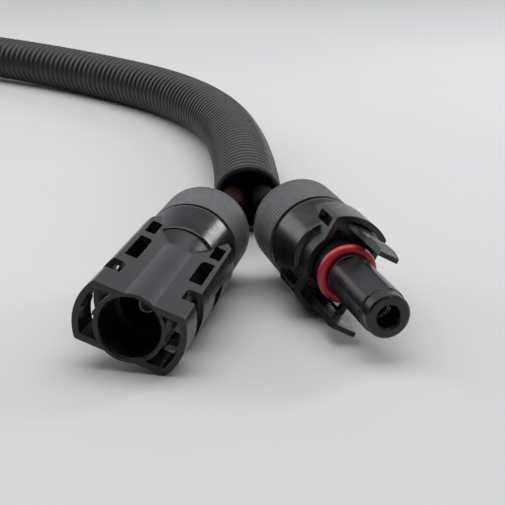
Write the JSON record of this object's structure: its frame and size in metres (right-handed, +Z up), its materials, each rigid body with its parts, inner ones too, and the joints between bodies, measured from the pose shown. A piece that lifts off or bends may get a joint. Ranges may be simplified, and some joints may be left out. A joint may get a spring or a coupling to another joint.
{
  "type": "solar cable connector pair",
  "caption": "Mating plug and receptacle for solar panel cables, with cap nuts and latch arms, on a cable pair in corrugated loom.",
  "frame": {"origin": "on the ground plane, under the middle of the two connectors' bounding box", "axes": "+Z up from the surface the pair lies on; the connectors point roughly to -Y and the loom leaves towards +Y and -X"},
  "size_m": [0.3399, 0.3446, 0.0206],
  "materials": {
    "housing_black": "satin-gloss moulded",
    "nut_black": "fine ribbed, satin",
    "inner_black": "moulded",
    "seal_grey": "soft",
    "ring_red": "smooth silicone",
    "tin_plate": "tin plated",
    "spring_steel": "plain",
    "tinned_strand": "tinned strands",
    "red_jacket": "matt cross-linked jacket",
    "black_jacket": "matt cross-linked jacket",
    "loom_black": "corrugated, satin",
    "tie_black": "moulded strap",
    "ferrule_red": "moulded collar",
    "ferrule_black": "moulded collar"
  },
  "bodies": {
    "pair": {"receptacle_housing": "housing_black", "receptacle_cable_seal": "seal_grey", "contact_pin": "tin_plate", "pin_retaining_clip": "spring_steel", "receptacle_conductor": "tinned_strand", "receptacle_lead": "red_jacket", "plug_housing": "housing_black", "sealing_ring": "ring_red", "plug_cable_seal": "seal_grey", "contact_socket": "tin_plate", "socket_spring_cage": "spring_steel", "socket_retaining_clip": "spring_steel", "plug_conductor": "tinned_strand", "plug_lead": "black_jacket", "loom_tube": "loom_black", "loom_coil": "loom_black", "coil_ties": "tie_black", "receptacle_tail": "red_jacket", "plug_tail": "black_jacket", "receptacle_tail_ferrule": "ferrule_red", "plug_tail_ferrule": "ferrule_black"},
    "receptacle_clamp": {"receptacle_clamp_ring": "inner_black"},
    "receptacle_nut": {"receptacle_cap_nut": "nut_black"},
    "plug_clamp": {"plug_clamp_ring": "inner_black"},
    "plug_nut": {"plug_cap_nut": "nut_black"},
    "upper_arm": {"latch_arm_upper": "housing_black"},
    "lower_arm": {"latch_arm_lower": "housing_black"}
  },
  "joints": [
    {"name": "receptacle_clamp_slide", "type": "slide", "parent": "pair", "child": "receptacle_clamp", "axis": [0.2112, 0.9769, 0.0315], "range_m": [0, 0.0015]},
    {"name": "receptacle_nut_turn", "type": "hinge", "parent": "receptacle_clamp", "child": "receptacle_nut", "pos_m": [-0.00893, 0.0188, 0.00964], "axis": [0.2112, 0.9769, 0.0315], "range_deg": [0, 360]},
    {"name": "plug_clamp_slide", "type": "slide", "parent": "pair", "child": "plug_clamp", "axis": [-0.282, 0.9581, 0.0506], "range_m": [0, 0.0015]},
    {"name": "plug_nut_turn", "type": "hinge", "parent": "plug_clamp", "child": "plug_nut", "pos_m": [0.01222, 0.01955, 0.01104], "axis": [-0.282, 0.9581, 0.0506], "range_deg": [0, 360]},
    {"name": "upper_arm_flex", "type": "hinge", "parent": "pair", "child": "upper_arm", "pos_m": [0.0203, 0.00564, 0.01709], "axis": [0.8304, 0.2701, -0.4872], "range_deg": [0, 4], "stiffness_Nm_per_rad": 0.05},
    {"name": "lower_arm_flex", "type": "hinge", "parent": "pair", "child": "lower_arm", "pos_m": [0.01278, 0.00414, 0.00345], "axis": [-0.8304, -0.2701, 0.4872], "range_deg": [0, 4], "stiffness_Nm_per_rad": 0.05}
  ],
  "couplings": [
    {"joint": "receptacle_nut_turn", "follows": "receptacle_clamp_slide", "rad_per_m": 4188.8},
    {"joint": "plug_nut_turn", "follows": "plug_clamp_slide", "rad_per_m": 4188.8}
  ]
}
